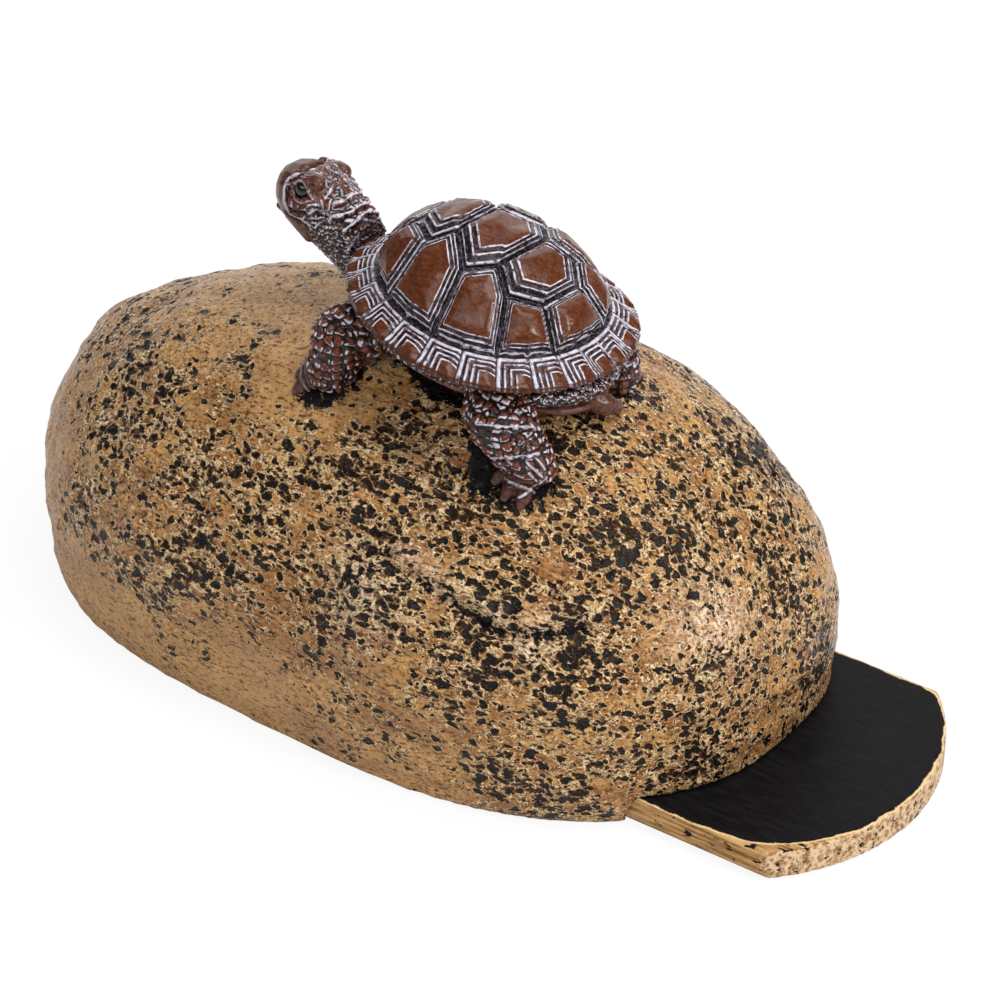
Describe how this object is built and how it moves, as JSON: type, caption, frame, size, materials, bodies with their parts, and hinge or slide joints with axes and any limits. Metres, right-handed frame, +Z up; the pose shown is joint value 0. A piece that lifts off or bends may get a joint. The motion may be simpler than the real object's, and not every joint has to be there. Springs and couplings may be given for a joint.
{
  "type": "turtle key hider",
  "caption": "Resin stone with a key compartment in its base, shut by a flat cover that slides in grooves, with a cast turtle standing on its back.",
  "frame": {"origin": "middle of the part's box on the ground, with the cover standing open as pictured", "axes": "+X along the cover's travel, pulling it out; +Z up; the turtle looks along -X"},
  "size_m": [0.1916, 0.095, 0.0947],
  "materials": {
    "stone": "gloss varnish over tan paint with dark pits",
    "cover": "satin black paint on top, tan sides",
    "shell": "satin brown paint, pale dry-brushed growth lines",
    "plastron": "satin brown paint",
    "skin": "satin brown paint, pale dry-brushed scales",
    "eye": "gloss black"
  },
  "bodies": {
    "stone_and_turtle": {"stone_shell": "stone", "carapace": "shell", "plastron": "plastron", "trunk": "skin", "head": "skin", "eyes": "eye", "front_left_leg": "skin", "front_right_leg": "skin", "rear_left_leg": "skin", "rear_right_leg": "skin", "tail": "skin"},
    "cover": {"slide_cover": "cover"}
  },
  "joints": [
    {"name": "cover_slide", "type": "slide", "parent": "stone_and_turtle", "child": "cover", "axis": [1, 0, 0], "range_m": [-0.027, 0.104]}
  ]
}
